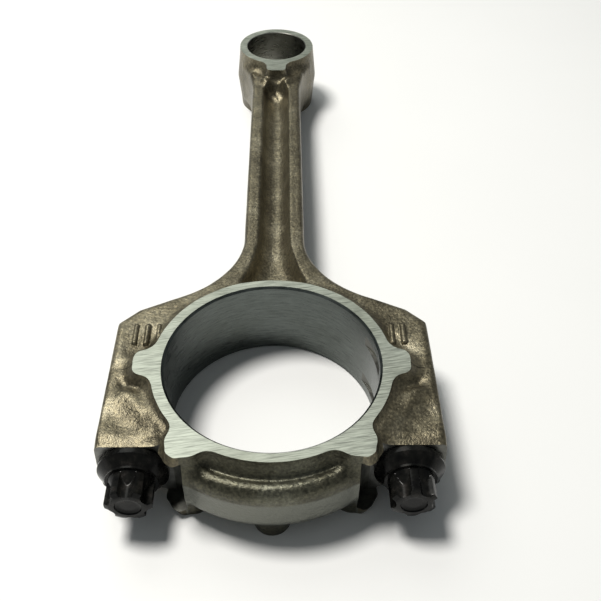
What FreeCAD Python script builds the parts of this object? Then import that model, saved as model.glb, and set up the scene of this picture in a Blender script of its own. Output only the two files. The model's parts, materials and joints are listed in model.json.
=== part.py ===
"""Connecting rod of a small engine: forged rod, split bearing cap and two cap bolts.

Frame, in millimetres: the origin is the middle of the big-end bore, Z runs along the bore, Y points
to the small end, and z = 0 is the forging's middle plane, so every forged shape is the same above
and below it. The rod lies on its lower thrust faces.
"""
import FreeCAD, Part
import math
import os

import Sketcher

doc = FreeCAD.newDocument("connecting_rod")

# ---------------------------------------------------------------- driving dimensions
SIZES = [
    ("centre_distance", 147.0, "big-end bore axis to pin bore axis"),
    ("thrust_width", 20.75, "width over the machined thrust faces, both ends"),
    ("bore_radius", 23.5, "big-end housing bore, 47 mm across"),
    ("bore_chamfer", 0.5, ""),
    ("ring_radius", 26.1, "outside of the thrust ring round the big-end bore"),
    ("pin_radius", 10.0, "bore for a 20 mm piston pin"),
    ("pin_chamfer", 0.2, ""),
    ("eye_face_radius", 12.5, "small-end eye, at its machined faces"),
    ("eye_waist_radius", 13.7, "small-end eye, on the middle plane, where the draft starts"),
    ("eye_lobe_reach", 17.6, "from the pin axis to the tip of the eye's lobe"),
    ("eye_lobe_half", 3.2, ""),
    ("eye_lobe_round", 1.4, ""),
    ("eye_fillet", 1.2, "from the eye's wall to the beam's face"),
    ("shoulder_height", 16.0, "thickness of the forging over the bolt shoulders"),
    ("shoulder_half", 36.2, "half the width over the bolt shoulders, on the middle plane"),
    ("shoulder_corner", 14.8, "where a shoulder's straight side ends"),
    ("shoulder_cut", 4.5, "size of the cut corner above the side"),
    ("draft", 2.5, "forging draft, degrees"),
    ("tool_reach", 60.0, "how far a cutting shape runs past the forging"),
    ("edge_round", 1.1, "rounding of the forging's outer edges"),
    ("beam_height", 13.6, "thickness of the beam over its flanges"),
    ("beam_half", 8.1, "half the beam's width, on the middle plane"),
    ("beam_start", 47.2, "where the beam's straight sides start"),
    ("neck_radius", 26.0, "arc from a shoulder into the beam"),
    ("flare_radius", 40.0, "arc from the beam into the eye"),
    ("slope_start", 22.0, "where the face starts to fall from the shoulders to the beam"),
    ("slope_end", 44.0, ""),
    ("web_thickness", 4.0, "beam's web, between the two grooves"),
    ("groove_half", 2.3, "half the width of a groove's floor"),
    ("groove_draft", 20.0, "slope of a groove's walls, degrees"),
    ("groove_round", 1.9, "rounding along the groove's floor"),
    ("groove_end", 126.0, "end of the groove below the eye"),
    ("groove_flare", 62.0, "arc that widens the groove towards the big end"),
    ("groove_flare_start", 50.0, ""),
    ("side_lobe_reach", 30.0, "thrust face's lobes at the parting plane"),
    ("side_lobe_half", 3.4, ""),
    ("side_lobe_round", 2.0, ""),
    ("lobe_fillet", 1.8, "between the thrust ring and its lobes"),
    ("cap_lobe_x", 17.0, "centre of the cap's two lower lobes"),
    ("cap_lobe_y", 20.8, ""),
    ("cap_lobe_radius", 4.0, ""),
    ("spine_radius", 31.1, "outside of the cap's stiffening spine"),
    ("spine_height", 12.5, ""),
    ("spine_round", 3.2, ""),
    ("spine_half", 17.8, "half the spine's length along X"),
    ("foot_y", 26.0, "centre of the half-round foot under the spine"),
    ("foot_radius", 4.0, ""),
    ("seat_y", 19.9, "parting plane to the bolt seats"),
    ("seat_corner", 2.7, "inner corner of a bolt seat"),
    ("seat_height", 16.14, "milled height of a bolt seat; the lobes run past it above and below"),
    ("bolt_x", 28.6, "bore axis to bolt axis"),
    ("cap_hole_radius", 4.15, "bolt hole in the cap"),
    ("rod_hole_radius", 4.03, "bolt hole in the rod, at the thread's major diameter"),
    ("tang_width", 2.8, "locating notch of a bearing shell"),
    ("tang_depth", 1.2, ""),
    ("tang_cutter", 16.3, "radius of the cutter that makes the notches"),
    ("tang_offset", 6.2, "middle plane to the middle of a notch"),
    ("mark_height", 0.5, "raised forging marks on the shoulders"),
    ("mark_width", 1.1, ""),
    ("mark_length", 6.0, ""),
    ("mark_start", 7.5, "parting plane to the marks"),
    ("mark_pitch", 2.6, ""),
    ("thread_radius", 4.0, "M8 bolt"),
    ("thread_pitch", 1.0, ""),
    ("thread_depth", 0.55, ""),
    ("thread_start", 1.6, "parting plane to the first thread"),
    ("thread_length", 15.4, ""),
    ("shank_radius", 3.6, ""),
    ("land_radius", 4.1, "fitted land under the head"),
    ("land_length", 4.0, ""),
    ("flange_radius", 7.4, ""),
    ("flange_height", 1.4, ""),
    ("collar_radius", 5.5, ""),
    ("collar_start", 3.3, "seat to the top of the flange's cone"),
    ("collar_end", 3.8, "seat to the root of the drive"),
    ("drive_end", 9.5, "seat to the end of the head"),
    ("drive_radius", 4.85, "across the points of the six-lobed drive, halved"),
    ("drive_root", 3.65, "between the points"),
    ("drive_valley", 1.6, "radius of each hollow between two points"),
    ("drive_chamfer", 0.9, ""),
    ("dish_radius", 2.6, "dished end of the head"),
    ("dish_depth", 0.5, ""),
]

sheet = doc.addObject("Spreadsheet::Sheet", "size")
for row, (alias, value, note) in enumerate(SIZES, start=1):
    sheet.set(f"A{row}", alias)
    sheet.set(f"B{row}", str(value))
    sheet.set(f"C{row}", note)
    sheet.setAlias(f"B{row}", alias)
doc.recompute()

size = {alias: value for alias, value, note in SIZES}
ACROSS_Y = FreeCAD.Rotation(FreeCAD.Vector(1, 0, 0), 90)  # turns a primitive's Z axis to -Y
UPSIDE_DOWN = FreeCAD.Rotation(FreeCAD.Vector(1, 0, 0), 180)


# ---------------------------------------------------------------- helpers
def primitive(kind, name, at=("0", "0", "0"), turn=FreeCAD.Rotation(), **bound):
    """A Part primitive whose sizes and place are expressions on the sheet."""
    shape = doc.addObject(f"Part::{kind}", name)
    shape.Placement.Rotation = turn
    for axis, text in zip("xyz", at):
        shape.setExpression(f"Placement.Base.{axis}", text)
    for key, text in bound.items():
        shape.setExpression(key, text)
    return shape


def block(name, x, y, z):
    """A box between two expressions on each axis."""
    return primitive(
        "Box", name, at=(x[0], y[0], z[0]),
        Length=f"({x[1]}) - ({x[0]})", Width=f"({y[1]}) - ({y[0]})", Height=f"({z[1]}) - ({z[0]})",
    )


def fuse(name, shapes):
    joined = doc.addObject("Part::MultiFuse", name)
    joined.Shapes = shapes
    joined.Refine = True
    return joined


def cut(name, base, tools):
    tool = tools[0] if len(tools) == 1 else fuse(f"{name}_tools", tools)
    left = doc.addObject("Part::Cut", name)
    left.Base = base
    left.Tool = tool
    left.Refine = True
    return left


def common(name, base, tool):
    kept = doc.addObject("Part::Common", name)
    kept.Base = base
    kept.Tool = tool
    kept.Refine = True
    return kept


def fillet(name, base, radius, wanted):
    """Rounds every edge for which wanted(edge, its middle point) is true."""
    doc.recompute()
    picked = []
    for number, edge in enumerate(base.Shape.Edges, start=1):
        middle = edge.valueAt((edge.FirstParameter + edge.LastParameter) / 2)
        if wanted(edge, middle):
            picked.append((number, radius, radius))
    if not picked:
        raise RuntimeError(f"{name}: no edge to round")
    rounded = doc.addObject("Part::Fillet", name)
    rounded.Base = base
    rounded.Edges = picked
    return rounded


def upright(edge):
    return edge.Length > 1 and abs(edge.tangentAt(edge.FirstParameter).z) > 0.99


def sketch(name, corners, turn=FreeCAD.Rotation()):
    """A closed outline. Each corner is (x, y, bend, tangent): x and y are expressions, or a free
    starting guess when they are numbers; bend is None for a straight run to the next corner, or
    (radius expression, +1 or -1 for an arc whose centre lies left or right of the way); tangent
    says that the run before meets the run after smoothly."""
    outline = doc.addObject("Sketcher::SketchObject", name)
    outline.Placement.Rotation = turn

    def number(text):
        return text if isinstance(text, (int, float)) else sheet_value(text)

    spots = [FreeCAD.Vector(number(c[0]), number(c[1]), 0) for c in corners]
    first, last = [], []
    for i, (here, corner) in enumerate(zip(spots, corners)):
        there = spots[(i + 1) % len(spots)]
        if corner[2] is None:
            outline.addGeometry(Part.LineSegment(here, there))
            first.append(1)
            last.append(2)
            continue
        radius, side = number(corner[2][0]), corner[2][1]
        chord = there - here
        rise = math.sqrt(radius**2 - (chord.Length / 2) ** 2)
        centre = (here + there) / 2 + FreeCAD.Vector(-chord.y, chord.x, 0).normalize() * rise * side
        start, end = (here, there) if side > 0 else (there, here)
        angles = [math.atan2(p.y - centre.y, p.x - centre.x) for p in (start, end)]
        if angles[1] < angles[0]:
            angles[1] += 2 * math.pi
        outline.addGeometry(Part.ArcOfCircle(Part.Circle(centre, FreeCAD.Vector(0, 0, 1), radius), *angles))
        first.append(1 if side > 0 else 2)
        last.append(2 if side > 0 else 1)
    for i, corner in enumerate(corners):
        joint = "Tangent" if corner[3] else "Coincident"
        before = (i - 1) % len(corners)
        outline.addConstraint(Sketcher.Constraint(joint, before, last[before], i, first[i]))
        for axis, text, value in (("X", corner[0], spots[i].x), ("Y", corner[1], spots[i].y)):
            if isinstance(text, str):
                at = outline.addConstraint(Sketcher.Constraint(f"Distance{axis}", i, first[i], value))
                outline.setExpression(f"Constraints[{at}]", text)
        if corner[2] is not None:
            at = outline.addConstraint(Sketcher.Constraint("Radius", i, number(corner[2][0])))
            outline.setExpression(f"Constraints[{at}]", corner[2][0])
    return outline


def sheet_value(text):
    """The value of an expression on the sheet, through a scratch cell."""
    sheet.set("E1", "=" + text.replace("size.", ""))
    sheet.recompute()
    value = float(sheet.get("E1"))
    sheet.clear("E1")
    return value


def mirrored(corners):
    """The same run of an outline on the other side of the Y axis, in the opposite order."""
    flipped = []
    for i in range(len(corners) - 1, -1, -1):
        x, y = corners[i][:2]
        bend = corners[i - 1][2] if i > 0 else None
        flipped.append((f"-({x})" if isinstance(x, str) else -x, y, bend, corners[i][3]))
    return flipped


def extrude(name, outline, direction, forward, backward="0", taper=None):
    solid = doc.addObject("Part::Extrusion", name)
    solid.Base = outline
    solid.DirMode = "Custom"
    solid.Dir = direction
    solid.Solid = True
    solid.setExpression("LengthFwd", forward)
    solid.setExpression("LengthRev", backward)
    if taper:
        solid.setExpression("TaperAngle", taper)
        if backward != "0":
            solid.setExpression("TaperAngleRev", taper)
    return solid


# ---------------------------------------------------------------- the forging, rod and cap in one
def forging_blank():
    """Shoulders, neck and beam: one drafted outline, thinner along the beam, with rounded edges."""
    eye_reach = "(size.eye_waist_radius + size.flare_radius)"
    flare_x = "(size.beam_half + size.flare_radius)"
    flare_drop = f"sqrt({eye_reach} ^ 2 - {flare_x} ^ 2)"
    eye_share = f"size.eye_waist_radius / {eye_reach}"
    right = [
        ("size.shoulder_half", "-size.seat_y - 2.5", None, False),
        ("size.shoulder_half", "size.shoulder_corner", None, False),
        ("size.shoulder_half - size.shoulder_cut", "size.shoulder_corner + size.shoulder_cut", None, False),
        (21.0, 24.0, ("size.neck_radius", -1), True),
        ("size.beam_half", "size.beam_start", None, True),
        ("size.beam_half", f"size.centre_distance - {flare_drop}", ("size.flare_radius", -1), False),
        (f"{flare_x} * {eye_share}", f"size.centre_distance - {flare_drop} * {eye_share}", None, False),
    ]
    outline = sketch("forging_outline", right + mirrored(right))
    half = "size.shoulder_height / 2"
    drafted = extrude("drafted_blank", outline, FreeCAD.Vector(0, 0, 1), half, half, "-size.draft")

    # the fall from the shoulders to the beam, above and below
    reliefs = []
    for label, way in (("upper", 1), ("lower", -1)):
        sign = "" if way > 0 else "-"
        side_view = sketch(
            f"{label}_relief_outline",
            [
                ("size.slope_start", f"{sign}size.shoulder_height / 2", None, False),
                ("size.slope_end", f"{sign}size.beam_height / 2", None, False),
                ("size.centre_distance + size.tool_reach", f"{sign}size.beam_height / 2", None, False),
                ("size.centre_distance + size.tool_reach", f"{sign}size.shoulder_height", None, False),
                ("size.slope_start", f"{sign}size.shoulder_height", None, False),
            ],
            turn=FreeCAD.Rotation(FreeCAD.Vector(1, 1, 1), 120),
        )
        reliefs.append(extrude(
            f"{label}_relief", side_view, FreeCAD.Vector(1, 0, 0), "size.tool_reach", "size.tool_reach",
        ))
    stepped = cut("stepped_blank", drafted, reliefs)

    def outer_edge(edge, middle):
        return abs(middle.z) > size["beam_height"] / 2 - 0.2 and abs(middle.x) > 5

    return fillet("blank", stepped, size["edge_round"], outer_edge)


def beam_grooves():
    """The two rounded grooves that leave an I-section: upper tool and its copy below."""
    right = [
        (6.0, "size.slope_start", ("size.groove_flare", -1), False),
        ("size.groove_half", "size.groove_flare_start", None, True),
        ("size.groove_half", "size.groove_end - size.groove_half", ("size.groove_half", 1), False),
    ]
    tip = [("0", "size.groove_end", ("size.groove_half", 1), False)]
    outline = sketch("groove_outline", right + tip + mirrored(right))
    outline.setExpression("Placement.Base.z", "size.web_thickness / 2")
    walls = extrude(
        "groove_walls", outline, FreeCAD.Vector(0, 0, 1), "size.shoulder_height / 2",
        taper="size.groove_draft",
    )

    def floor_edge(edge, middle):
        on_floor = abs(edge.BoundBox.ZMax - size["web_thickness"] / 2) < 0.01
        return on_floor and edge.BoundBox.ZLength < 0.01 and abs(middle.y - size["slope_start"]) > 0.1

    upper = fillet("upper_groove", walls, size["groove_round"], floor_edge)
    lower = doc.addObject("Part::Mirroring", "lower_groove")
    lower.Source = upper
    lower.Normal = FreeCAD.Vector(0, 0, 1)
    return [upper, lower]


def eye_body(beam):
    """The small-end eye with its two lobes, blended into the beam above and below."""
    half = "size.thrust_width / 2"
    cones = []
    for label, turn in (("upper", FreeCAD.Rotation()), ("lower", UPSIDE_DOWN)):
        cones.append(primitive(
            "Cone", f"{label}_eye", at=("0", "size.centre_distance", "0"), turn=turn,
            Radius1="size.eye_waist_radius", Radius2="size.eye_face_radius", Height=half,
        ))
    lobe_box = block(
        "eye_lobe_block",
        ("-size.eye_lobe_half", "size.eye_lobe_half"),
        ("size.centre_distance - size.eye_lobe_reach", "size.centre_distance"),
        (f"-{half}", half),
    )
    tip_y = size["centre_distance"] - size["eye_lobe_reach"]
    lobe = fillet(
        "eye_lobe", lobe_box, size["eye_lobe_round"],
        lambda edge, middle: upright(edge) and abs(middle.y - tip_y) < 0.01,
    )
    eye = fuse("eye", [*cones, lobe])
    rod = fuse("beam_and_eye", [beam, eye])

    # where the eye's wall and its lobe meet the flat faces of the beam
    def root_edge(edge, middle):
        on_face = abs(abs(middle.z) - size["beam_height"] / 2) < 0.05 and edge.BoundBox.ZLength < 0.05
        return on_face and middle.y > tip_y - 0.5 and abs(middle.x) < 8

    return fillet("blended_eye", rod, size["eye_fillet"], root_edge)


def thrust_faces():
    """The machined faces round the big-end bore, with their side lobes and the cap's lower lobes."""
    half = "size.thrust_width / 2"
    ring = primitive(
        "Cylinder", "thrust_ring", at=("0", "0", f"-{half}"),
        Radius="size.ring_radius", Height="size.thrust_width",
    )
    bar = block(
        "side_lobe_block",
        ("-size.side_lobe_reach", "size.side_lobe_reach"),
        ("-size.side_lobe_half", "size.side_lobe_half"),
        (f"-{half}", half),
    )
    side_lobes = fillet("side_lobes", bar, size["side_lobe_round"], lambda edge, middle: upright(edge))
    cap_lobes = []
    for label, side in (("left", "-"), ("right", "")):
        cap_lobes.append(primitive(
            "Cylinder", f"{label}_cap_lobe", at=(f"{side}size.cap_lobe_x", "-size.cap_lobe_y", f"-{half}"),
            Radius="size.cap_lobe_radius", Height="size.thrust_width",
        ))
    joined = fuse("thrust_block", [ring, side_lobes, *cap_lobes])

    def inner_corner(edge, middle):
        return upright(edge) and abs(math.hypot(middle.x, middle.y) - size["ring_radius"]) < 0.01

    return fillet("blended_thrust_block", joined, size["lobe_fillet"], inner_corner)


def cap_spine():
    """The stiffening spine round the cap, with big rounded edges, and the half-round foot below it."""
    disc = primitive(
        "Cylinder", "spine_disc", at=("0", "0", "-size.spine_height / 2"),
        Radius="size.spine_radius", Height="size.spine_height",
    )
    rounded = fillet("rounded_spine_disc", disc, size["spine_round"], lambda edge, middle: not upright(edge))
    reach = block(
        "spine_reach",
        ("-size.spine_half - 2", "size.spine_half + 2"),
        ("-size.spine_radius - 1", "-size.seat_y + 5"),
        ("-size.spine_height", "size.spine_height"),
    )
    foot = primitive(
        "Cylinder", "foot", at=("0", "-size.foot_y", "-size.thrust_width / 2"),
        Radius="size.foot_radius", Height="size.thrust_width / 2",
    )
    return [common("spine", rounded, reach), foot]


def bolt_seats():
    """The milled steps that the bolt heads sit on."""
    seats = []
    for label, side in (("left", -1), ("right", 1)):
        width = ("size.spine_half", "size.tool_reach")
        if side < 0:
            width = ("-size.tool_reach", "-size.spine_half")
        step = block(
            f"{label}_seat_block", width, ("-size.tool_reach", "-size.seat_y"),
            ("-size.seat_height / 2", "size.seat_height / 2"),
        )

        def inner_edge(edge, middle):
            at_spine = abs(abs(middle.x) - size["spine_half"]) < 0.01
            return upright(edge) and at_spine and abs(middle.y + size["seat_y"]) < 0.01

        seats.append(fillet(f"{label}_seat", step, size["seat_corner"], inner_edge))
    return seats


def bore(name, at_y, radius, chamfer):
    """A bore through both thrust faces, with a chamfer at each end."""
    half = "size.thrust_width / 2"
    tools = [primitive(
        "Cylinder", f"{name}_hole", at=("0", at_y, f"-{half} - 1"),
        Radius=radius, Height="size.thrust_width + 2",
    )]
    for label, turn, z in (
        ("upper", FreeCAD.Rotation(), f"{half} - {chamfer}"),
        ("lower", UPSIDE_DOWN, f"-{half} + {chamfer}"),
    ):
        tools.append(primitive(
            "Cone", f"{name}_{label}_chamfer", at=("0", at_y, z), turn=turn,
            Radius1=radius, Radius2=f"{radius} + {chamfer} + 1", Height=f"{chamfer} + 1",
        ))
    return tools


def bolt_holes():
    """Clearance through the cap, then the tapped length through the rod's shoulder."""
    holes = []
    for label, side in (("left", "-"), ("right", "")):
        holes.append(primitive(
            "Cylinder", f"{label}_cap_hole", at=(f"{side}size.bolt_x", "0", "0"), turn=ACROSS_Y,
            Radius="size.cap_hole_radius", Height="size.seat_y + 5",
        ))
        holes.append(primitive(
            "Cylinder", f"{label}_rod_hole", at=(f"{side}size.bolt_x", "size.seat_y + 8", "0"), turn=ACROSS_Y,
            Radius="size.rod_hole_radius", Height="size.seat_y + 8",
        ))
    return holes


def shoulder_marks():
    """Plain raised bars on the rod's shoulders, three on one side and two on the other."""
    marks = []
    for label, side, count in (("left", -1, 3), ("right", 1, 2)):
        for turn in range(count):
            inner = f"size.bolt_x + size.mark_pitch * ({turn} - {(count - 1) / 2})"
            edges = (f"{inner} - size.mark_width / 2", f"{inner} + size.mark_width / 2")
            if side < 0:
                edges = (f"-({edges[1]})", f"-({edges[0]})")
            marks.append(block(
                f"{label}_mark_{turn + 1}", edges, ("size.mark_start", "size.mark_start + size.mark_length"),
                ("size.shoulder_height / 2 - 1", "size.shoulder_height / 2 + size.mark_height"),
            ))
    return marks


def tang_notches():
    """The two notches that locate a bearing shell, milled by a disc at the parting plane."""
    notches = []
    for label, side in (("upper", ""), ("lower", "-")):
        notches.append(primitive(
            "Cylinder", f"{label}_tang_notch",
            at=("size.bore_radius + size.tang_depth - size.tang_cutter", "0",
                f"{side}size.tang_offset - size.tang_width / 2"),
            Radius="size.tang_cutter", Height="size.tang_width",
        ))
    return notches


def half_space(name, y):
    """Everything on one side of the parting plane."""
    width = ("-size.tool_reach", "size.tool_reach")
    return block(name, width, y, width)


# ---------------------------------------------------------------- the cap bolts
def bolt(name, side, first_valley):
    """A flanged bolt with a six-lobed drive: its axis runs along Y and its seat is on the cap's."""
    seat = "-size.seat_y"
    turns = int(size["thread_length"] / size["thread_pitch"])
    thread_end = f"(size.thread_start + {turns} * size.thread_pitch)"
    profile = [
        ("0", f"{seat} - size.drive_end + size.dish_depth"),
        ("size.dish_radius - size.dish_depth", f"{seat} - size.drive_end + size.dish_depth"),
        ("size.dish_radius", f"{seat} - size.drive_end"),
        ("size.drive_radius - size.drive_chamfer", f"{seat} - size.drive_end"),
        ("size.drive_radius", f"{seat} - size.drive_end + size.drive_chamfer / 2"),
        ("size.drive_radius", f"{seat} - size.collar_end"),
        ("size.collar_radius", f"{seat} - size.collar_end"),
        ("size.collar_radius", f"{seat} - size.collar_start"),
        ("size.flange_radius", f"{seat} - size.flange_height"),
        ("size.flange_radius", seat),
        ("size.land_radius", seat),
        ("size.land_radius", f"{seat} + size.land_length"),
        ("size.shank_radius", f"{seat} + size.land_length + 0.5"),
        ("size.shank_radius", "size.thread_start - size.thread_depth"),
    ]
    for turn in range(turns):
        profile.append(("size.thread_radius", f"size.thread_start + {turn} * size.thread_pitch"))
        profile.append((
            "size.thread_radius - size.thread_depth",
            f"size.thread_start + ({turn} + 0.5) * size.thread_pitch",
        ))
    profile.append(("size.thread_radius - size.thread_depth", thread_end))
    profile.append(("size.thread_radius - 1.5", f"{thread_end} + 0.9"))
    profile.append(("0", f"{thread_end} + 0.9"))
    outline = sketch(f"{name}_profile", [(x, y, None, False) for x, y in profile])
    turned = doc.addObject("Part::Revolution", f"{name}_turned")
    turned.Source = outline
    turned.Axis = FreeCAD.Vector(0, 1, 0)
    turned.Angle = 360
    turned.Solid = True

    valleys = []
    for turn in range(6):
        angle = first_valley + 60 * turn
        spot = "(size.drive_root + size.drive_valley)"
        centre = (f"{spot} * cos({angle})", f"{seat} - size.collar_end", f"{spot} * sin({angle})")
        valleys.append(primitive(
            "Cylinder", f"{name}_valley_{turn + 1}", at=centre, turn=ACROSS_Y,
            Radius="size.drive_valley", Height="size.drive_end",
        ))
    finished = cut(name, turned, valleys)
    finished.setExpression("Placement.Base.x", f"{side}size.bolt_x")
    return finished


# ---------------------------------------------------------------- assembly
blank = forging_blank()
everywhere = ("-size.tool_reach", "size.tool_reach")
trim = block("seat_trim", everywhere, ("-size.tool_reach", "-size.seat_y"), everywhere)
beam = cut("grooved_blank", blank, [*beam_grooves(), trim])
forging = fuse("forging", [eye_body(beam), thrust_faces(), *cap_spine(), *shoulder_marks()])
machined = cut("machined_forging", forging, [
    *bolt_seats(),
    *bore("big_end", "0", "size.bore_radius", "size.bore_chamfer"),
    *bore("small_end", "size.centre_distance", "size.pin_radius", "size.pin_chamfer"),
    *bolt_holes(),
])
rod_side = half_space("rod_side", ("0", "size.centre_distance + size.tool_reach"))
upper_half = common("rod_half", machined, rod_side)
subparts = [
    cut("rod_body", upper_half, tang_notches()),
    common("cap", machined, half_space("cap_side", ("-size.tool_reach", "0"))),
    bolt("bolt_left", "-", 90),
    bolt("bolt_right", "", 60),
]
doc.recompute()

for item in doc.Objects:
    if "Invalid" in item.State or "Error" in item.State:
        raise RuntimeError(f"{item.Name}: {item.State}")
for item in subparts:
    if item.Shape.isNull() or not item.Shape.isValid() or len(item.Shape.Solids) != 1:
        raise RuntimeError(f"{item.Label}: its shape isn't one valid solid")
    print(item.Label, round(item.Shape.Volume), "cubic millimetres")

os.makedirs("parts", exist_ok=True)
for item in subparts:
    item.Shape.exportStep(f"parts/{item.Label}.step")
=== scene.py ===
import json
import math

import bmesh
import bpy
import numpy as np
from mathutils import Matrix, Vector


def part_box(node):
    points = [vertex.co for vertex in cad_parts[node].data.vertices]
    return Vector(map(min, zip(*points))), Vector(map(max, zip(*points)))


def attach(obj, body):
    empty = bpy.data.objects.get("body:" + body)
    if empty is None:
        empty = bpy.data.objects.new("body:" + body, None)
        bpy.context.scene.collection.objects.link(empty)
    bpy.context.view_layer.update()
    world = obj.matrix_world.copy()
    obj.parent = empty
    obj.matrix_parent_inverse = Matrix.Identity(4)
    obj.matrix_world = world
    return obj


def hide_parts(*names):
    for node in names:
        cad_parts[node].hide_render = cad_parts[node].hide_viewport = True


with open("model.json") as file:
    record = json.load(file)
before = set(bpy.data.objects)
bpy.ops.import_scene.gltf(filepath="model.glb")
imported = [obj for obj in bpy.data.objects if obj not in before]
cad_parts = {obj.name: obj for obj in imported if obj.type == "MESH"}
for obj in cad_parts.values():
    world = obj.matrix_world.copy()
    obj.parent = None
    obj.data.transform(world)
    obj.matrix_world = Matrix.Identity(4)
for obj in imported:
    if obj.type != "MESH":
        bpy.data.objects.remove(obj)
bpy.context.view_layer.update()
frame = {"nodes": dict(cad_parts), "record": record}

import openvdb
from mathutils import Matrix, Vector

print("frame loaded:", sorted(frame["nodes"]))

mm = 0.001
mounts = {mount["name"]: mount for mount in frame["record"]["mounts"]}
bigBore = mounts["big_end_bore"]["dims"]["r_mm"]
pinBore = mounts["small_end_bore"]["dims"]["r_mm"]
centres = mounts["small_end_bore"]["pos_m"][1] / mm
faceHeight = mounts["upper_thrust_face"]["pos_m"][2] / mm
boltLow, boltHigh = (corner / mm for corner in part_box("bolt_right"))
boltX = (boltLow.x + boltHigh.x) / 2
headHeight = 9.5
seatY = boltLow.y + headHeight


# mesh helpers: all their sizes are in millimetres
def newPiece(name, points, faces):
    mesh = bpy.data.meshes.new(name)
    mesh.from_pydata((np.asarray(points, float) * mm).tolist(), [], faces)
    mesh.validate()
    piece = bpy.data.objects.new(name, mesh)
    bpy.context.scene.collection.objects.link(piece)
    return piece


def bake(piece):
    # turns a piece's live modifiers into its plain mesh
    bpy.context.view_layer.update()
    evaluated = piece.evaluated_get(bpy.context.evaluated_depsgraph_get())
    ready = bpy.data.meshes.new_from_object(evaluated)
    piece.modifiers.clear()
    piece.data = ready


def machine(piece, tool, operation="DIFFERENCE"):
    step = piece.modifiers.new("machining", "BOOLEAN")
    step.operation = operation
    step.object = tool
    step.solver = "MANIFOLD"
    bake(piece)
    bpy.data.objects.remove(tool)


def lathe(name, radii, along, place=Matrix()):
    # a closed turned shape: one ring of points per row of radii, and a pole at each end
    rings, segments = radii.shape
    angle = np.arange(segments) * 2 * math.pi / segments
    height = np.repeat(np.asarray(along, float)[:, None], segments, axis=1)
    points = np.stack([radii * np.cos(angle), radii * np.sin(angle), height], -1).reshape(-1, 3)
    points = np.vstack([points, [0, 0, along[0]], [0, 0, along[-1]]])
    points = points @ np.array(place.to_3x3()).T + np.array(place.translation)
    faces = []
    for segment in range(segments):
        after = (segment + 1) % segments
        faces.append((after, segment, rings * segments))
        last = (rings - 1) * segments
        faces.append((last + segment, last + after, rings * segments + 1))
        for ring in range(rings - 1):
            low, high = ring * segments, (ring + 1) * segments
            faces.append((low + segment, low + after, high + after, high + segment))
    return newPiece(name, points, faces)


def turnedTool(name, profile, segments, place=Matrix()):
    radii = np.repeat(np.array([[radius] for radius, along in profile], float), segments, axis=1)
    return lathe(name, radii, [along for radius, along in profile], place)


def prism(name, outline, bottom, top):
    # an outline in the XY plane, anticlockwise, between two heights
    count = len(outline)
    points = [(x, y, bottom) for x, y in outline] + [(x, y, top) for x, y in outline]
    faces = [tuple(reversed(range(count))), tuple(range(count, 2 * count))]
    for i in range(count):
        after = (i + 1) % count
        faces.append((i, after, count + after, count + i))
    return newPiece(name, points, faces)


def node(tree, kind, values=(), links=()):
    made = tree.nodes.new(kind)
    for key, value in dict(values).items():
        if isinstance(key, str) and hasattr(made, key):
            setattr(made, key, value)
        else:
            made.inputs[key].default_value = value
    for key, source in dict(links).items():
        tree.links.new(source, made.inputs[key])
    return made


def newFinish(name, metallic, roughness, specular=0.5):
    finish = bpy.data.materials.new(name)
    finish.use_nodes = True
    tree = finish.node_tree
    shader = tree.nodes["Principled BSDF"]
    shader.inputs["Metallic"].default_value = metallic
    shader.inputs["Roughness"].default_value = roughness
    shader.inputs["Specular IOR Level"].default_value = specular
    place = tree.nodes.new("ShaderNodeTexCoord").outputs["Object"]
    return finish, tree, shader, place


def noise(tree, place, size, detail=2.0, rough=0.5, stretch=(1, 1, 1), turn=(0, 0, 0)):
    # size is the grain's width in millimetres
    spot = node(
        tree, "ShaderNodeMapping", {"vector_type": "TEXTURE", "Scale": stretch, "Rotation": turn},
        {"Vector": place},
    )
    made = node(
        tree, "ShaderNodeTexNoise", {"Scale": 1 / (size * mm), "Detail": detail, "Roughness": rough},
        {"Vector": spot.outputs[0]},
    )
    return made.outputs["Fac"]


def ramp(tree, source, stops):
    made = node(tree, "ShaderNodeValToRGB", links={"Fac": source})
    bar = made.color_ramp
    bar.elements[0].position, bar.elements[1].position = stops[0][0], stops[-1][0]
    bar.elements[0].color, bar.elements[1].color = (*stops[0][1], 1), (*stops[-1][1], 1)
    for position, colour in stops[1:-1]:
        bar.elements.new(position).color = (*colour, 1)
    return made.outputs["Color"]


def spread(tree, source, low, high, start=0.3, end=0.7):
    return node(
        tree, "ShaderNodeMapRange", {"From Min": start, "From Max": end, "To Min": low, "To Max": high},
        {"Value": source},
    ).outputs[0]


def tint(tree, first, second, share, way="MULTIPLY"):
    made = node(tree, "ShaderNodeMix", {"data_type": "RGBA", "blend_type": way})
    tree.links.new(first, made.inputs[6])
    tree.links.new(second, made.inputs[7])
    if isinstance(share, (int, float)):
        made.inputs[0].default_value = share
    else:
        tree.links.new(share, made.inputs[0])
    return made.outputs[2]


def bump(tree, height, depth, strength=1.0, under=None):
    made = node(tree, "ShaderNodeBump", {"Strength": strength, "Distance": depth * mm}, {"Height": height})
    if under:
        tree.links.new(under, made.inputs["Normal"])
    return made.outputs[0]


skinLook = {
    "dark": (0.085, 0.073, 0.047), "middle": (0.150, 0.132, 0.087), "light": (0.235, 0.212, 0.150),
    "trimmed": (0.19, 0.195, 0.165), "trimRadius": 30.6, "trimHalf": 18.0, "trimHeight": 2.4,
    # the spine's tint is partly painted shade, darkening the cap's spine against the key lamp, and partly
    # its greyer colour
    "spineShadeAndTint": (0.60, 0.66, 0.70), "spineFrom": -20.0,
    "grain": 0.65, "grainDepth": 0.17, "pitting": 1.9, "pitDepth": 0.14,
    "crackWidth": 0.09, "crackSway": 0.3,
}


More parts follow.
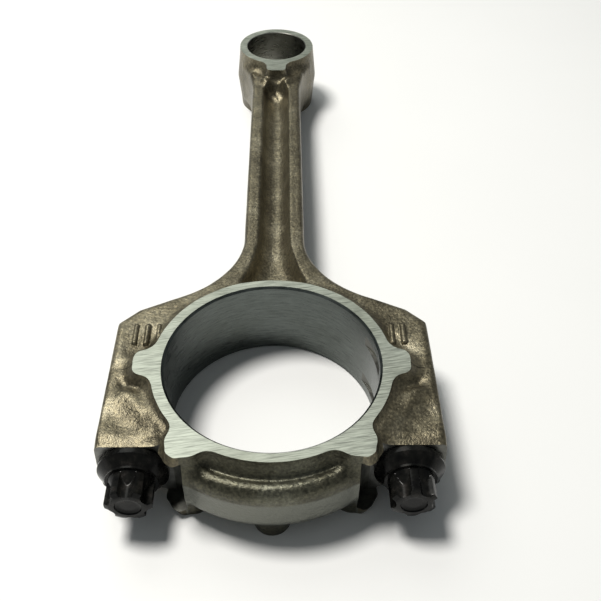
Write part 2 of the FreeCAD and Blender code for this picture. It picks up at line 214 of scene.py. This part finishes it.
def forgedSkin():
    finish, tree, shader, place = newFinish("forgedSkin", 0.78, 0.5)
    patches = noise(tree, place, 9, 4, 0.6)
    grains = noise(tree, place, skinLook["grain"], 3, 0.65)
    base = ramp(tree, patches, [
        (0.30, skinLook["dark"]), (0.52, skinLook["middle"]), (0.72, skinLook["light"]),
    ])
    speckle = ramp(tree, grains, [(0.34, (0.6, 0.6, 0.6)), (0.52, (1, 1, 1)), (0.68, (1.5, 1.47, 1.4))])
    skin = tint(tree, base, speckle, 1.0)
    # the smooth grey outer wall of the cap's spine, where the flash was trimmed
    parts = node(tree, "ShaderNodeSeparateXYZ", links={"Vector": place}).outputs
    flat = node(tree, "ShaderNodeCombineXYZ", links={"X": parts["X"], "Y": parts["Y"]}).outputs[0]
    radius = node(tree, "ShaderNodeVectorMath", {"operation": "LENGTH"}, {0: flat}).outputs["Value"]
    edge, half, top, start = (
        skinLook[key] * mm for key in ("trimRadius", "trimHalf", "trimHeight", "spineFrom")
    )
    outer = spread(tree, radius, 0.0, 1.0, edge - 0.15 * mm, edge + 0.15 * mm)
    below = spread(tree, parts["Y"], 1.0, 0.0, start - 1.0 * mm, start)
    sideways = node(tree, "ShaderNodeMath", {"operation": "ABSOLUTE"}, {0: parts["X"]}).outputs[0]
    within = spread(tree, sideways, 1.0, 0.0, half, half + 0.2 * mm)
    low = spread(tree, parts["Z"], 1.0, 0.0, top - 0.3 * mm, top + 0.3 * mm)
    onSpine = node(tree, "ShaderNodeMath", {"operation": "MULTIPLY"}, {0: below, 1: within}).outputs[0]
    onWall = node(tree, "ShaderNodeMath", {"operation": "MULTIPLY"}, {0: outer, 1: low}).outputs[0]
    trimmed = node(tree, "ShaderNodeMath", {"operation": "MULTIPLY"}, {0: onWall, 1: onSpine}).outputs[0]
    # the spine's skin is painted darker, as painted shade that tones down the key lamp's highlight along the
    # bead, and its own colour is greyer than the rest
    spineShadeAndGrey = ramp(tree, onSpine, [(0.0, (1, 1, 1)), (1.0, skinLook["spineShadeAndTint"])])
    skin = tint(tree, skin, spineShadeAndGrey, 1.0)
    grey = ramp(tree, grains, [
        (0.3, tuple(part * 0.8 for part in skinLook["trimmed"])), (0.7, skinLook["trimmed"]),
    ])
    skin = tint(tree, skin, grey, trimmed, "MIX")
    # the fine line where the cap was cracked off the rod
    wander = noise(tree, place, 1.4, 3)
    sway = skinLook["crackSway"] * mm
    shifted = node(
        tree, "ShaderNodeMath", {"operation": "MULTIPLY_ADD", 1: 2 * sway, 2: -sway}, {0: wander},
    ).outputs[0]
    distance = node(tree, "ShaderNodeMath", {"operation": "ADD"}, {0: parts["Y"], 1: shifted}).outputs[0]
    away = node(tree, "ShaderNodeMath", {"operation": "ABSOLUTE"}, {0: distance}).outputs[0]
    crack = spread(tree, away, 1.0, 0.0, 0.0, skinLook["crackWidth"] * mm)
    cracked = node(
        tree, "ShaderNodeMix", {"data_type": "RGBA", 7: (0.012, 0.010, 0.008, 1)}, {0: crack, 6: skin},
    )
    tree.links.new(cracked.outputs[2], shader.inputs["Base Color"])
    tree.links.new(spread(tree, grains, 0.28, 0.46), shader.inputs["Roughness"])
    pits = node(
        tree, "ShaderNodeTexVoronoi", {"Scale": 1 / (skinLook["pitting"] * mm), "feature": "SMOOTH_F1"},
        {"Vector": place},
    ).outputs["Distance"]
    coarse = bump(tree, pits, skinLook["pitDepth"], 0.6)
    fine = bump(tree, grains, skinLook["grainDepth"], 0.9, coarse)
    tree.links.new(fine, shader.inputs["Normal"])
    return finish


def linedMetal(name, colour, roughness, stretch, line, depth=0.02, contrast=0.25, turn=(0, 0, 0)):
    # bright steel with fine parallel tool lines: stretch is a line's run along each axis
    finish, tree, shader, place = newFinish(name, 1.0, roughness)
    lines = noise(tree, place, line, 3, 0.6, stretch, turn)
    clouds = noise(tree, place, 14, 3, 0.55)
    low = tuple(part * (1 - contrast) for part in colour)
    high = tuple(min(1.0, part * (1 + contrast)) for part in colour)
    streaks = ramp(tree, lines, [(0.30, low), (0.5, colour), (0.70, high)])
    stain = ramp(tree, clouds, [(0.35, (0.82, 0.82, 0.80)), (0.60, (1.0, 1.0, 1.0))])
    tree.links.new(tint(tree, streaks, stain, 1.0), shader.inputs["Base Color"])
    tree.links.new(spread(tree, lines, roughness - 0.07, roughness + 0.09), shader.inputs["Roughness"])
    tree.links.new(bump(tree, lines, depth, 0.8), shader.inputs["Normal"])
    return finish


def brokenSteel():
    finish, tree, shader, place = newFinish("fractureFace", 0.85, 0.45)
    grains = noise(tree, place, 0.5, 4, 0.7)
    colour = ramp(tree, grains, [(0.3, (0.10, 0.10, 0.10)), (0.7, (0.34, 0.34, 0.33))])
    tree.links.new(colour, shader.inputs["Base Color"])
    tree.links.new(bump(tree, grains, 0.2, 1.0), shader.inputs["Normal"])
    return finish


def blackOxide():
    finish, tree, shader, place = newFinish("blackOxide", 0.2, 0.2, 0.13)
    patches = noise(tree, place, 2.2, 4, 0.6)
    grains = noise(tree, place, 0.35, 2)
    colour = ramp(tree, patches, [
        (0.35, (0.004, 0.004, 0.004)), (0.55, (0.009, 0.009, 0.008)), (0.8, (0.030, 0.026, 0.023)),
    ])
    tree.links.new(colour, shader.inputs["Base Color"])
    tree.links.new(spread(tree, patches, 0.12, 0.30), shader.inputs["Roughness"])
    tree.links.new(bump(tree, grains, 0.02, 0.5), shader.inputs["Normal"])
    return finish


finishes = {
    "skin": forgedSkin(),
    "ground": linedMetal("groundFace", (0.30, 0.32, 0.275), 0.54, (18, 1, 1), 0.24, 0.02, 0.5, (0, 0, 0.16)),
    "bore": linedMetal("honedBore", (0.120, 0.134, 0.126), 0.30, (8, 8, 1), 0.4, 0.012, 0.28),
    "pin": linedMetal("pinBore", (0.30, 0.30, 0.27), 0.30, (6, 6, 1), 0.5, 0.012, 0.2),
    "drilled": linedMetal("drilledHole", (0.22, 0.22, 0.21), 0.40, (5, 1, 5), 0.4, 0.02, 0.3),
    "milled": linedMetal("milledSeat", (0.15, 0.15, 0.135), 0.38, (4, 4, 4), 0.5, 0.02, 0.3),
    "fracture": brokenSteel(),
    "oxide": blackOxide(),
}
print("finishes made:", len(finishes))


# the forging is a soft skin grown from the frame's own solids, and then machined
forging = {
    "cell": {"rodForging": 0.48, "capForging": 0.40},   # size of a level-set cell
    "innerRound": 2.8,     # radius that fills the inner corners
    "spare": 2.0,          # stock left on each machined surface until it is cut
    "softening": 3,        # smoothing passes over the skin
    "wave": 0.10,          # height of the skin's slow waves
    "waveLength": 7.0,
    "chamfer": 0.5,
    "pinChamfer": 0.2,
    "seatHeight": 8.07,    # half the milled height of a bolt seat
    "seatCorner": 2.7,
    "seatInner": 17.8,     # bore axis to the end of the cap's spine
    "rodHole": 4.03,
    "capHole": 4.15,
    "drillReach": 40.0, "holeEnd": 26.0,
    "notchCutter": 16.3, "notchDepth": 1.2, "notchWidth": 2.8, "notchOffset": 6.2,
    "markTop": 8.0,        # the shoulders' upper face
}
reach = 250.0   # past the end of every forging


def leaveStock(points, side):
    # moves machined surfaces outwards, so that they can be cut back sharply once the skin is soft
    x, y, z = points.T.copy()
    spare = forging["spare"]
    moved = points.copy()
    aroundBig, aroundPin = np.hypot(x, y), np.hypot(x, y - centres)
    aroundBolt = np.hypot(np.abs(x) - boltX, z)
    inBig = (aroundBig < bigBore + forging["chamfer"] + 0.05) | (
        (aroundBig < bigBore + forging["notchDepth"] + 0.05) & (np.abs(z) < faceHeight - 1))
    moved[inBig, :2] *= ((bigBore - spare) / aroundBig[inBig])[:, None]
    inPin = aroundPin < pinBore + forging["pinChamfer"] + 0.02
    shrink = (pinBore - spare) / aroundPin[inPin]
    moved[inPin, 0] = x[inPin] * shrink
    moved[inPin, 1] = centres + (y[inPin] - centres) * shrink
    inHole = aroundBolt < forging["capHole"] + 0.01
    shrink = 2.0 / aroundBolt[inHole]
    moved[inHole, 0] = np.sign(x[inHole]) * (boltX + (np.abs(x[inHole]) - boltX) * shrink)
    moved[inHole, 2] = z[inHole] * shrink
    onFace = np.abs(z) > faceHeight - 0.01
    moved[onFace, 2] = np.sign(z[onFace]) * (faceHeight + spare)
    onMark = (z > forging["markTop"] + 0.01) & (z < faceHeight - 1) & (aroundBig > bigBore + 3)
    onMark &= (y > 5) & (y < 18)
    moved[onMark, 2] = forging["markTop"] - 0.02
    moved[np.abs(y) < 0.01, 1] = -side * spare
    # the bolt seats: their floor, inner wall, round corner and the cut sides of the lobes
    low = (y < seatY + 0.01) & (np.abs(z) < forging["seatHeight"] + 0.01)
    low &= np.abs(x) > forging["seatInner"] - 0.01
    floor = low & (y > seatY - 0.01)
    moved[floor, 1] -= spare
    wall = low & ~floor & (np.abs(x) < forging["seatInner"] + forging["seatCorner"] - 0.02)
    moved[wall, 0] += np.sign(x[wall]) * spare * 0.7
    moved[wall, 1] -= spare * 0.7 * (np.abs(x[wall]) > forging["seatInner"] + 0.02)
    cheek = low & (np.abs(z) > forging["seatHeight"] - 0.01)
    moved[cheek, 2] -= np.sign(z[cheek]) * spare * 0.7
    return moved


def levelSurface(points, triangles, quads, distance, cell):
    grid = openvdb.FloatGrid.createLevelSetFromPolygons(
        points.astype(np.float32), triangles=triangles, quads=quads,
        transform=openvdb.createLinearTransform(cell), halfWidth=forging["innerRound"] / cell + 2.5,
    )
    return grid.convertToQuads(distance)


def softSkin(name, nodeName, side):
    merged = bmesh.new()
    merged.from_mesh(frame["nodes"][nodeName].data)
    bmesh.ops.remove_doubles(merged, verts=merged.verts, dist=1e-6)
    bmesh.ops.triangulate(merged, faces=merged.faces)
    points = np.array([vert.co for vert in merged.verts]) / mm
    triangles = np.array([[vert.index for vert in face.verts] for face in merged.faces], np.uint32)
    merged.free()
    points = leaveStock(points, side)
    # out by the inner radius and back again fills every inner corner with that radius
    radius, cell = forging["innerRound"], forging["cell"][name]
    grown, quads = levelSurface(points, triangles, np.zeros((0, 4), np.uint32), radius, cell)
    points, quads = levelSurface(grown, np.zeros((0, 3), np.uint32), quads, -radius, cell)
    piece = newPiece(name, shapeSkin(points), quads[:, ::-1].tolist())
    soften = piece.modifiers.new("softening", "SMOOTH")
    soften.factor = 0.5
    soften.iterations = forging["softening"]
    clouds = bpy.data.textures.new("slowWaves", "CLOUDS")
    clouds.noise_scale = forging["waveLength"] * mm
    waves = piece.modifiers.new("waves", "DISPLACE")
    waves.texture = clouds
    waves.texture_coords = "LOCAL"
    waves.strength = forging["wave"] * mm
    waves.mid_level = 1.0
    bake(piece)
    return piece


relief = {
    # low ridges and hollows in the skin: from, to, half-width and height
    "bosses": [
        ((30.6, -7.0), (22.6, -16.6), 2.2, 0.85),
        ((33.2, -12.5), (29.5, -15.5), 2.8, -0.55),
        ((29.2, -4.6), (31.5, -4.0), 1.6, -0.9),
        ((36.0, -20.2), (21.0, -20.2), 1.9, -0.8),
        ((30.5, 5.2), (26.5, 10.5), 1.7, -0.5),
        ((34.0, 3.0), (34.5, 12.0), 1.5, 0.3),
    ],
    "neck": [
        ((8.4, 133.0), (3.2, 126.6), 1.1, 0.75),
        ((3.8, 127.6), (0.0, 124.4), 1.2, 0.7),
        ((3.6, 131.6), (0.0, 128.4), 1.6, -0.6),
        ((0.0, 120.5), (0.0, 112.0), 1.6, -0.3),
    ],
    # heights over which each set comes in and fades out again
    "bossFade": (5.0, 7.4, 8.3, 9.8), "neckFade": (0.8, 2.4, 8.0, 9.6),
    # the roll along the cap's spine and the valley inside it: radius, half-width and height
    "roll": (30.1, 1.9, 0.45), "valley": (27.2, 0.85, -0.95), "rollHalf": 17.0,
}


def shapeSkin(points):
    x, y, z = np.abs(points[:, 0]), points[:, 1], np.abs(points[:, 2])
    rise = np.zeros(len(points))
    for ridges, fade in (("bosses", "bossFade"), ("neck", "neckFade")):
        start, full, high, top = relief[fade]
        share = np.clip((z - start) / (full - start), 0, 1) * np.clip((top - z) / (top - high), 0, 1)
        for (startX, startY), (endX, endY), width, height in relief[ridges]:
            runX, runY = endX - startX, endY - startY
            along = np.clip(((x - startX) * runX + (y - startY) * runY) / (runX ** 2 + runY ** 2), 0, 1)
            gap = np.hypot(x - startX - along * runX, y - startY - along * runY)
            rise += height * np.exp(-(gap / width) ** 2) * share
    around = np.hypot(x, y)
    onSpine = np.clip((relief["rollHalf"] - x) / 2, 0, 1) * (y < -15)
    onSpine = onSpine * np.clip(8.6 - z, 0, 1) * np.clip(z - 1, 0, 1)
    for radius, width, height in (relief["roll"], relief["valley"]):
        rise += height * np.exp(-((around - radius) / width) ** 2) * onSpine
    shaped = points.copy()
    shaped[:, 2] += np.sign(points[:, 2]) * rise
    return shaped


marks = {
    "left": {"count": 3, "x": -28.6}, "right": {"count": 2, "x": 28.6},
    "pitch": 2.6, "length": 6.0, "start": 7.5, "radius": 0.62, "sink": 0.14,
}


def markTree():
    # a row of raised bars: count, spacing, bar length and radius are inputs
    tree = bpy.data.node_groups.new("raisedBars", "GeometryNodeTree")
    tree.interface.new_socket("Geometry", in_out="OUTPUT", socket_type="NodeSocketGeometry")
    for name, kind in (
        ("Count", "NodeSocketInt"), ("Middle", "NodeSocketVector"), ("Pitch", "NodeSocketFloat"),
        ("Length", "NodeSocketFloat"), ("Radius", "NodeSocketFloat"), ("Finish", "NodeSocketMaterial"),
    ):
        tree.interface.new_socket(name, in_out="INPUT", socket_type=kind)
    given = tree.nodes.new("NodeGroupInput").outputs
    out = tree.nodes.new("NodeGroupOutput")
    one = node(tree, "ShaderNodeMath", {"operation": "SUBTRACT", 1: 1.0}, {0: given["Count"]})
    width = node(tree, "ShaderNodeMath", {"operation": "MULTIPLY"}, {0: one.outputs[0], 1: given["Pitch"]})
    half = node(tree, "ShaderNodeMath", {"operation": "MULTIPLY", 1: -0.5}, {0: width.outputs[0]})
    offset = node(tree, "ShaderNodeCombineXYZ", links={"X": half.outputs[0]})
    start = node(
        tree, "ShaderNodeVectorMath", {"operation": "ADD"}, {0: given["Middle"], 1: offset.outputs[0]},
    )
    step = node(tree, "ShaderNodeCombineXYZ", links={"X": given["Pitch"]})
    line = node(
        tree, "GeometryNodeMeshLine", {"mode": "OFFSET"},
        {"Count": given["Count"], "Start Location": start.outputs[0], "Offset": step.outputs[0]},
    )
    reachEnd = node(tree, "ShaderNodeCombineXYZ", links={"Y": given["Length"]})
    spine = node(tree, "GeometryNodeCurvePrimitiveLine", links={"End": reachEnd.outputs[0]})
    rings = node(tree, "GeometryNodeResampleCurve", {"Count": 13}, {"Curve": spine.outputs[0]})
    # the bar's ends are drawn in, so that they finish round
    position = node(tree, "GeometryNodeSplineParameter").outputs["Factor"]
    centred = node(tree, "ShaderNodeMath", {"operation": "MULTIPLY_ADD", 1: 2.0, 2: -1.0}, {0: position})
    eighth = node(tree, "ShaderNodeMath", {"operation": "POWER", 1: 8.0}, {0: centred.outputs[0]})
    taper = node(
        tree, "ShaderNodeMath", {"operation": "MULTIPLY_ADD", 1: -0.75, 2: 1.0}, {0: eighth.outputs[0]},
    )
    section = node(tree, "GeometryNodeCurvePrimitiveCircle", {"Resolution": 20}, {"Radius": given["Radius"]})
    drawn = node(
        tree, "GeometryNodeSetCurveRadius", links={"Curve": rings.outputs[0], "Radius": taper.outputs[0]},
    )
    bar = node(
        tree, "GeometryNodeCurveToMesh", {"Fill Caps": True},
        {"Curve": drawn.outputs[0], "Profile Curve": section.outputs[0]},
    )
    placed = node(
        tree, "GeometryNodeInstanceOnPoints", links={"Points": line.outputs[0], "Instance": bar.outputs[0]},
    )
    real = node(tree, "GeometryNodeRealizeInstances", links={"Geometry": placed.outputs[0]})
    closed = node(
        tree, "GeometryNodeMergeByDistance", {"Distance": 0.001 * mm}, {"Geometry": real.outputs[0]},
    )
    dressed = node(
        tree, "GeometryNodeSetMaterial", links={"Geometry": closed.outputs[0], "Material": given["Finish"]},
    )
    tree.links.new(dressed.outputs[0], out.inputs[0])
    return tree


def raisedBars(name, tree, row):
    bars = newPiece(name, [], [])
    grow = bars.modifiers.new("bars", "NODES")
    grow.node_group = tree
    sockets = {item.name: item.identifier for item in tree.interface.items_tree if item.in_out == "INPUT"}
    grow[sockets["Count"]] = row["count"]
    grow[sockets["Middle"]] = (row["x"] * mm, marks["start"] * mm, (forging["markTop"] - marks["sink"]) * mm)
    grow[sockets["Pitch"]] = marks["pitch"] * mm
    grow[sockets["Length"]] = marks["length"] * mm
    grow[sockets["Radius"]] = marks["radius"] * mm
    grow[sockets["Finish"]] = finishes["skin"]
    bake(bars)
    return bars


def boreTool(name, radius, chamfer, y):
    end = faceHeight
    profile = [
        (radius + chamfer + 1, -end - 1), (radius, -end + chamfer), (radius, end - chamfer),
        (radius + chamfer + 1, end + 1),
    ]
    return turnedTool(name, profile, 256, Matrix.Translation((0, y, 0)))


def seatTool(name, side):
    # the milled step for one bolt head, with its round inner corner
    inner, corner = forging["seatInner"], forging["seatCorner"]
    outline = [(inner, -60.0), (60.0, -60.0), (60.0, seatY)]
    for turn in range(9):
        angle = math.pi / 2 + turn * math.pi / 16
        outline.append((
            inner + corner + corner * math.cos(angle), seatY - corner + corner * math.sin(angle),
        ))
    if side < 0:
        outline = [(-x, y) for x, y in reversed(outline)]
    return prism(name, outline, -forging["seatHeight"], forging["seatHeight"])


def cutForging(piece, side):
    near, far = (0.0, reach) if side > 0 else (-reach, 0.0)
    half = [(-reach, near), (reach, near), (reach, far), (-reach, far)]
    machine(piece, prism("stock", half, -faceHeight, faceHeight), "INTERSECT")
    machine(piece, boreTool("bigEndBore", bigBore, forging["chamfer"], 0))
    acrossY = Matrix.Rotation(-math.pi / 2, 4, "X")
    if side > 0:
        machine(piece, boreTool("pinBore", pinBore, forging["pinChamfer"], centres))
        wheel, width = forging["notchCutter"], forging["notchWidth"]
        middle = bigBore + forging["notchDepth"] - wheel
        for way in (-1, 1):
            place = Matrix.Translation((middle, 0, way * forging["notchOffset"]))
            cutter = [(wheel, -width / 2), (wheel, width / 2)]
            machine(piece, turnedTool("notchCutter", cutter, 128, place))
    radius, drill = forging["rodHole" if side > 0 else "capHole"], forging["drillReach"]
    for way in (-1, 1):
        place = Matrix.Translation((way * boltX, 0, 0)) @ acrossY
        machine(piece, turnedTool("boltDrill", [(radius, -drill), (radius, drill)], 96, place))
        if side < 0:
            machine(piece, seatTool("seatCutter", way))


def onSeat(x, y, z, flat):
    # the milled floor, inner wall, round corner and sides of a bolt seat
    inner, corner, height = forging["seatInner"], forging["seatCorner"], forging["seatHeight"]
    if y >= seatY + 0.01:
        return False
    onFloor = flat.y < -0.99 and abs(x) > inner + corner - 0.05
    onSide = abs(abs(z) - height) < 0.01 and abs(flat.z) > 0.99 and y < seatY
    upright = abs(z) < height and abs(flat.z) < 0.01 and flat.x * x > 0.001
    onWall = abs(abs(x) - inner) < 0.01
    around = math.hypot(abs(x) - inner - corner, y - seatY + corner)
    inCorner = abs(around - corner) < 0.06 and abs(x) > inner
    return onFloor or onSide or (upright and (onWall or inCorner))


def finishAt(x, y, z, flat):
    # a face's finish, by where its middle lies and which way it looks
    aroundBig, aroundPin = math.hypot(x, y), math.hypot(x, y - centres)
    aroundBolt = math.hypot(abs(x) - boltX, z)
    onChamfer = abs(z) > faceHeight - 0.6 and aroundBig < bigBore + forging["chamfer"] + 0.02
    if abs(z) > faceHeight - 0.01 and abs(flat.z) > 0.99:
        return "ground"
    if abs(y) < 0.01 and abs(flat.y) > 0.99:
        return "fracture"
    if aroundPin < pinBore + forging["pinChamfer"] + 0.01:
        return "pin"
    if onChamfer or aroundBig < bigBore + 0.02:
        return "bore"
    if aroundBig < bigBore + forging["notchDepth"] + 0.02 and abs(z) < faceHeight - 1:
        return "milled"
    if aroundBolt < forging["capHole"] + 0.02 and y < forging["holeEnd"]:
        return "drilled"
    return "milled" if onSeat(x, y, z, flat) else "skin"


def dressForging(piece):
    # gives each face its finish, and keeps machined edges sharp
    order = ["skin", "ground", "bore", "pin", "drilled", "milled", "fracture"]
    for name in order:
        piece.data.materials.append(finishes[name])
    mesh = bmesh.new()
    mesh.from_mesh(piece.data)
    for face in mesh.faces:
        face.material_index = order.index(finishAt(*(face.calc_center_median() / mm), face.normal))
        face.smooth = True
    for edge in mesh.edges:
        if len(edge.link_faces) != 2:
            continue
        one, two = edge.link_faces
        machined = one.material_index or two.material_index
        bent = machined and edge.calc_face_angle(0) > 0.5
        edge.smooth = one.material_index == two.material_index and not bent
    mesh.to_mesh(piece.data)
    mesh.free()


def makeForging(name, nodeName, body, side):
    piece = softSkin(name, nodeName, side)
    if side > 0:
        tree = markTree()
        for label in ("left", "right"):
            machine(piece, raisedBars(label + "Bars", tree, marks[label]), "UNION")
    cutForging(piece, side)
    piece.data.materials.clear()
    dressForging(piece)
    piece.data.name = name
    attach(piece, body)
    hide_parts(nodeName)
    print(name, "made,", len(piece.data.polygons), "faces")


makeForging("rodForging", "rod_body", "rod", 1)
makeForging("capForging", "cap", "bearing_cap", -1)


boltLook = {
    "segments": 144,
    "head": headHeight, "dish": 2.6, "dishDepth": 0.5,
    "flange": 7.39, "flangeHeight": 1.4, "flangeRound": 0.35,
    "collar": 5.5, "collarStart": 3.3, "collarEnd": 3.8,
    "points": 4.85, "valleys": 3.55, "valleyRadius": 1.75, "chamfer": 0.9, "runOut": 2.8,
    "land": 4.1, "landLength": 4.0, "shank": 3.6,
    "thread": 4.0, "root": 3.45, "pitch": 1.0, "threadStart": 1.6, "threadTurns": 15, "tip": 0.9,
}


def boltProfile():
    # radius and height above the seat, from the head's dish to the last of the shank
    look = boltLook
    rounding = look["flangeRound"]
    dish, depth = look["dish"], look["dishDepth"]
    profile = [(dish * share, -look["head"] + depth) for share in (0.3, 0.6, 0.85)]
    profile += [(dish, -look["head"] + depth * 0.6), (dish + 0.15, -look["head"])]
    top = look["points"] - look["chamfer"]
    profile += [(top - 0.15, -look["head"]), (top, -look["head"] + 0.05)]
    steps = 24
    drop = look["chamfer"] / 2
    profile.append((look["points"], -look["head"] + drop))
    straight = look["head"] - drop - look["collarEnd"]
    for step in range(1, steps + 1):
        profile.append((look["points"], -look["head"] + drop + straight * step / steps))
    profile += [(look["collar"], -look["collarEnd"] + 0.02), (look["collar"], -look["collarStart"])]
    rim = -look["flangeHeight"]
    profile += [(look["flange"] - 0.12, rim - 0.12), (look["flange"], rim)]
    profile += [(look["flange"], -rounding), (look["flange"] - rounding * 0.3, -rounding * 0.3)]
    profile += [(look["flange"] - rounding, -0.005), (look["land"] + 0.01, -0.005), (look["land"], 0.02)]
    profile += [(look["land"], look["landLength"]), (look["shank"], look["landLength"] + 0.5)]
    return profile


def makeBolt(name, nodeName, body, valleyAngle):
    look = boltLook
    low, high = (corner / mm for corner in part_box(nodeName))
    onSeatFloor = Matrix.Translation(((low.x + high.x) / 2, seatY, (low.z + high.z) / 2))
    place = onSeatFloor @ Matrix.Rotation(-math.pi / 2, 4, "X")
    angle = np.arange(look["segments"]) * 2 * math.pi / look["segments"]
    # how far the six hollows let the drive reach at each angle
    turn = (angle - valleyAngle + math.pi / 6) % (math.pi / 3) - math.pi / 6
    centre = look["valleys"] + look["valleyRadius"]
    inside = look["valleyRadius"] ** 2 - (centre * np.sin(turn)) ** 2
    hollow = np.where(inside > 0, centre * np.cos(turn) - np.sqrt(np.maximum(inside, 0)), look["points"])
    rows, heights = [], []
    for radius, height in boltProfile():
        row = np.full(look["segments"], radius)
        if height < -look["collarEnd"] + 0.01:
            # the hollows run out on a cone towards the collar
            rise = max(0.0, (height + look["collarEnd"] + look["runOut"]) / look["runOut"])
            cone = look["valleys"] + (look["points"] - look["valleys"]) * rise
            row = np.minimum(row, np.maximum(hollow, cone))
        rows.append(row)
        heights.append(height)
    start, length = -seatY + look["threadStart"], look["threadTurns"] * look["pitch"]
    rings = int(length / look["pitch"] * 9)
    for ring in range(rings + 1):
        height = start + length * ring / rings
        phase = (height / look["pitch"] + angle / (2 * math.pi)) % 1.0
        cut = np.clip(1.15 - 2.3 * np.abs(phase - 0.5), 0, 1)
        fade = min(1.0, (height - start) / look["pitch"])
        rows.append(look["root"] + (look["thread"] - look["root"]) * cut * fade)
        heights.append(height)
    tip = start + length
    for share in (0.35, 0.7, 1.0):
        rows.append(np.minimum(rows[-1], look["root"] - 1.0 * share))
        heights.append(tip + look["tip"] * share)
    bolt = lathe(name, np.array(rows), heights, place)
    bolt.data.materials.append(finishes["oxide"])
    for face in bolt.data.polygons:
        face.use_smooth = True
    bolt.data.set_sharp_from_angle(angle=math.radians(32))
    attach(bolt, body)
    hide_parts(nodeName)
    print(name, "made,", len(bolt.data.polygons), "faces")


makeBolt("leftBolt", "bolt_left", "left_bolt", math.pi / 2)
makeBolt("rightBolt", "bolt_right", "right_bolt", math.pi / 3)


studio = {
    "floor": (0.84, 0.84, 0.83), "floorHalf": 3000, "world": (0.80, 0.86, 0.88), "worldStrength": 0.20,
    "lens": 48.24, "cameraAt": (3.11, -116.7, 141.3), "elevation": 43.99, "azimuth": 1.866, "roll": -1.087,
    "shift": (-0.0078, 0.001),
    # each lamp's place, size, power and colour
    "lamps": {
        "key": ((-0.26, 0.15, 0.76), 0.24, 7.0, (1.0, 0.98, 0.94)),
        "backFill": ((-0.40, 0.95, 0.95), 0.9, 4.2, (0.97, 1.0, 0.95)),
    },
}


def makeFloor():
    half, base = studio["floorHalf"], -faceHeight - 0.01
    corners = [(-half, -half, base), (half, -half, base), (half, half, base), (-half, half, base)]
    floor = newPiece("floor", corners, [(0, 1, 2, 3)])
    finish, tree, shader, place = newFinish("paleFloor", 0.0, 0.6)
    clouds = noise(tree, place, 60, 3)
    pale = studio["floor"]
    tone = ramp(tree, clouds, [(0.3, tuple(part * 0.985 for part in pale)), (0.7, pale)])
    tree.links.new(tone, shader.inputs["Base Color"])
    floor.data.materials.append(finish)


def makeWorld():
    world = bpy.data.worlds.new("paleRoom")
    world.use_nodes = True
    background = world.node_tree.nodes["Background"]
    background.inputs["Color"].default_value = (*studio["world"], 1)
    background.inputs["Strength"].default_value = studio["worldStrength"]
    bpy.context.scene.world = world


def makeLight(name, at, size, power, colour):
    lamp = bpy.data.lights.new(name, "AREA")
    lamp.shape = "DISK"
    lamp.size = size
    lamp.energy = power
    lamp.color = colour
    holder = bpy.data.objects.new(name, lamp)
    holder.location = at
    holder.rotation_euler = Vector(at).to_track_quat("Z", "Y").to_euler()
    bpy.context.scene.collection.objects.link(holder)


def makeCamera():
    data = bpy.data.cameras.new("camera")
    data.lens = studio["lens"]
    data.sensor_width = 36
    data.clip_start = 0.005
    data.shift_x, data.shift_y = studio["shift"]
    turn, rise, roll = (math.radians(studio[key]) for key in ("azimuth", "elevation", "roll"))
    ahead = Vector((math.sin(turn) * math.cos(rise), math.cos(turn) * math.cos(rise), -math.sin(rise)))
    right = Vector((math.cos(turn), -math.sin(turn), 0))
    down = ahead.cross(right)
    level = right * math.cos(roll) + down * math.sin(roll)
    upwards = right * math.sin(roll) - down * math.cos(roll)
    camera = bpy.data.objects.new("camera", data)
    axes = Matrix((level, upwards, -ahead)).transposed().to_4x4()
    camera.matrix_world = Matrix.Translation(Vector(studio["cameraAt"]) * mm) @ axes
    bpy.context.scene.collection.objects.link(camera)
    bpy.context.scene.camera = camera


makeFloor()
makeWorld()
for name, lamp in studio["lamps"].items():
    makeLight(name, *lamp)
makeCamera()
bpy.context.scene.view_settings.view_transform = "Standard"
print("floor, light and camera placed")
